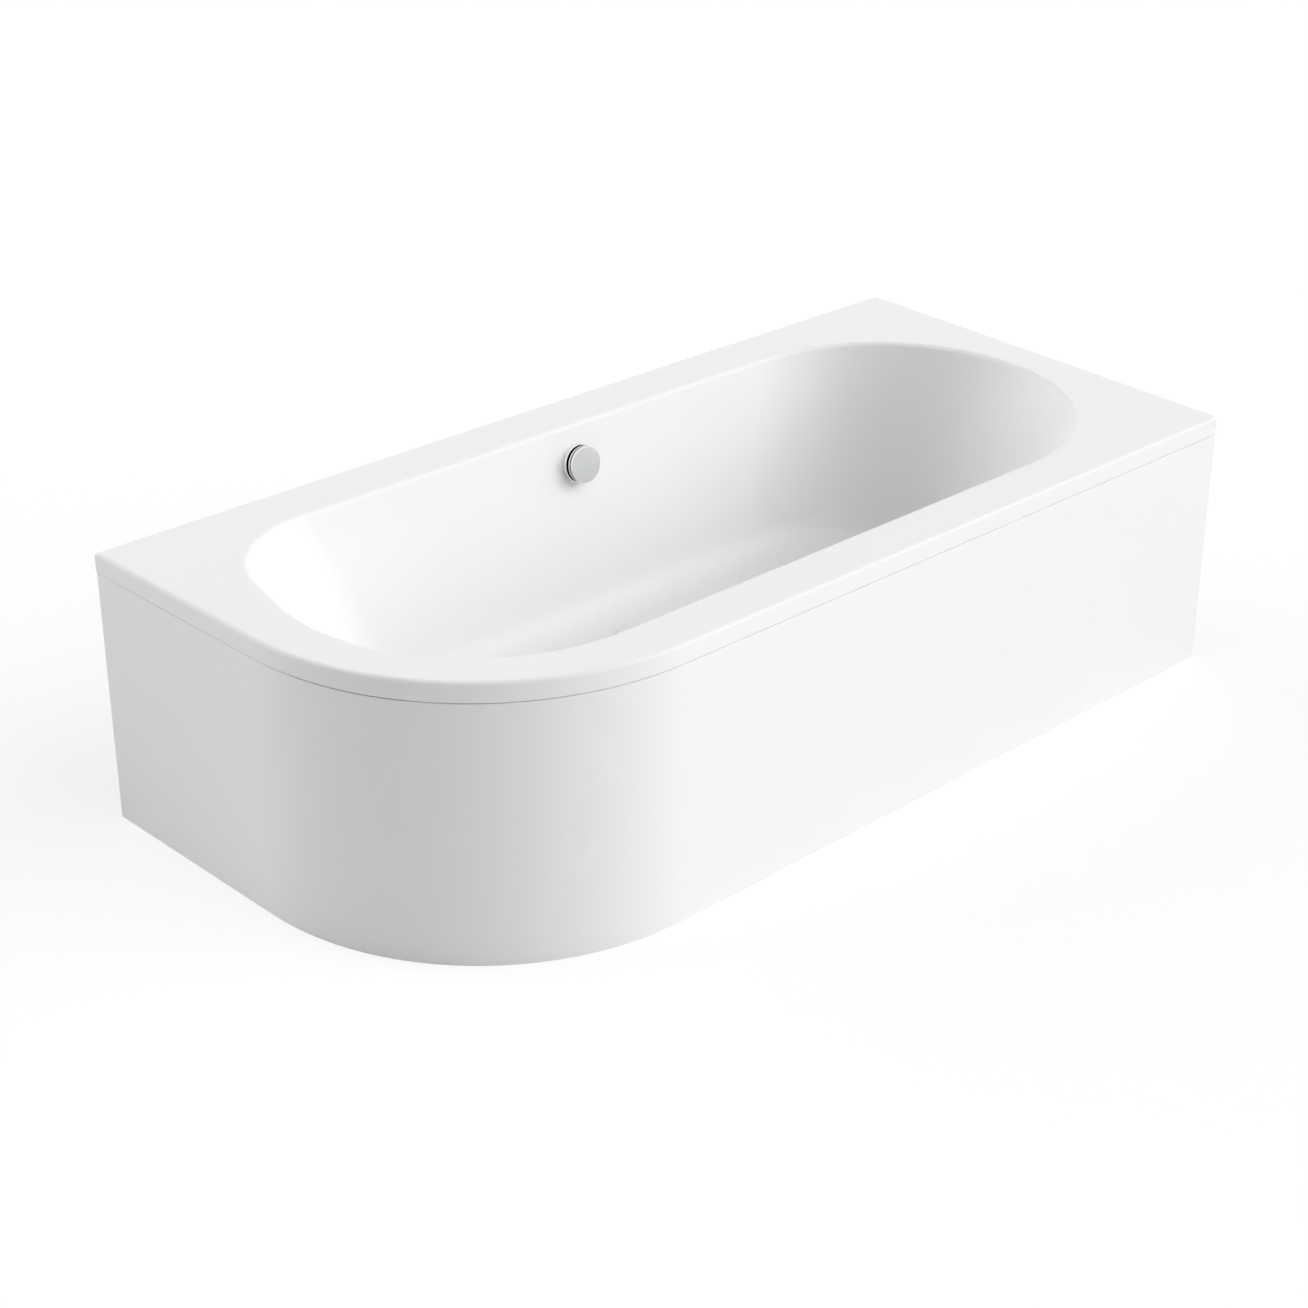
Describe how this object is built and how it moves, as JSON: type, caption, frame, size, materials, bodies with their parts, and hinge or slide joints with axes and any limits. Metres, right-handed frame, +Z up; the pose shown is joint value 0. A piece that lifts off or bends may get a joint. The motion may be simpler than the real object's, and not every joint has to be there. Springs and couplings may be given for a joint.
{
  "type": "corner bathtub",
  "caption": "Double-ended corner bathtub with a flat rim, one curved panelled corner, a levelling cradle and a knob-operated pop-up waste with overflow.",
  "frame": {"origin": "on the floor, under the middle of the plan's bounding rectangle", "axes": "+X along the length towards the end wall, +Y towards the long back wall, +Z up"},
  "size_m": [1.8, 0.85, 0.49],
  "materials": {
    "acrylic": "polished white sanitary acrylic",
    "chrome": "mirror chrome",
    "white_plastic": "moulded white polypropylene",
    "grey_hose": "corrugated grey polyethylene",
    "black_plastic": "moulded black plastic",
    "rubber": "black rubber",
    "zinc_steel": "galvanised sheet",
    "bright_steel": "zinc-plated threads",
    "timber": "planed softwood",
    "chipboard": "raw chipboard under clear resin"
  },
  "bodies": {
    "bath": {"baseboard": "chipboard", "bath_shell": "acrylic", "centre_foot_plate": "zinc_steel", "clip_screws": "bright_steel", "control_cable": "black_plastic", "cradle_channel_left": "zinc_steel", "cradle_channel_right": "zinc_steel", "cradle_screws": "bright_steel", "foot_lock_nuts": "bright_steel", "foot_weld_nuts": "bright_steel", "front_panel": "acrylic", "hose_nut_lower": "white_plastic", "hose_nut_upper": "white_plastic", "lever_pin": "bright_steel", "outlet_pipe": "white_plastic", "outlet_union_nut": "white_plastic", "overflow_body": "white_plastic", "overflow_gasket": "rubber", "overflow_hose": "grey_hose", "overflow_ring": "chrome", "overflow_screws": "bright_steel", "panel_clips": "zinc_steel", "panel_floor_blocks": "timber", "panel_screws": "bright_steel", "rim_batten_back": "timber", "rim_batten_front": "timber", "rim_batten_left": "timber", "rim_batten_right": "timber", "trap_body": "white_plastic", "trap_cleaning_cap": "white_plastic", "trap_seal": "rubber", "trap_union_nut": "white_plastic", "wall_bracket_back_left": "zinc_steel", "wall_bracket_back_middle": "zinc_steel", "wall_bracket_back_right": "zinc_steel", "wall_bracket_end_back": "zinc_steel", "wall_bracket_end_front": "zinc_steel", "waste_body": "white_plastic", "waste_flange": "chrome", "waste_lower_seal": "rubber", "waste_upper_seal": "rubber"},
    "knob": {"overflow_knob": "chrome", "knob_spindle": "bright_steel", "cable_wheel": "white_plastic"},
    "plug": {"waste_plug": "chrome", "plug_seal": "rubber", "plug_stem": "bright_steel"},
    "lever": {"lift_lever": "white_plastic"},
    "foot_front_left": {"foot_stud_front_left": "bright_steel", "foot_pad_front_left": "black_plastic"},
    "foot_back_left": {"foot_stud_back_left": "bright_steel", "foot_pad_back_left": "black_plastic"},
    "foot_front_right": {"foot_stud_front_right": "bright_steel", "foot_pad_front_right": "black_plastic"},
    "foot_back_right": {"foot_stud_back_right": "bright_steel", "foot_pad_back_right": "black_plastic"},
    "foot_centre": {"foot_stud_centre": "bright_steel", "foot_pad_centre": "black_plastic"}
  },
  "joints": [
    {"name": "knob_turn", "type": "hinge", "parent": "bath", "child": "knob", "pos_m": [0.008, 0.30947, 0.417], "axis": [0, -0.9833, 0.1822], "range_deg": [0, 90]},
    {"name": "plug_lift", "type": "slide", "parent": "bath", "child": "plug", "axis": [0, 0, 1], "range_m": [0, 0.009]},
    {"name": "lever_swing", "type": "hinge", "parent": "bath", "child": "lever", "pos_m": [0.008, 0.126, 0.096], "axis": [1, 0, 0], "range_deg": [0, 21.61]},
    {"name": "foot_front_left_thread", "type": "slide", "parent": "bath", "child": "foot_front_left", "axis": [0, 0, -1], "range_m": [0, 0.02]},
    {"name": "foot_back_left_thread", "type": "slide", "parent": "bath", "child": "foot_back_left", "axis": [0, 0, -1], "range_m": [0, 0.02]},
    {"name": "foot_front_right_thread", "type": "slide", "parent": "bath", "child": "foot_front_right", "axis": [0, 0, -1], "range_m": [0, 0.02]},
    {"name": "foot_back_right_thread", "type": "slide", "parent": "bath", "child": "foot_back_right", "axis": [0, 0, -1], "range_m": [0, 0.02]},
    {"name": "foot_centre_thread", "type": "slide", "parent": "bath", "child": "foot_centre", "axis": [0, 0, -1], "range_m": [0, 0.02]}
  ],
  "couplings": [
    {"joint": "knob_turn", "follows": "plug_lift", "rad_per_m": 174.53},
    {"joint": "lever_swing", "follows": "plug_lift", "rad_per_m": 41.915}
  ]
}
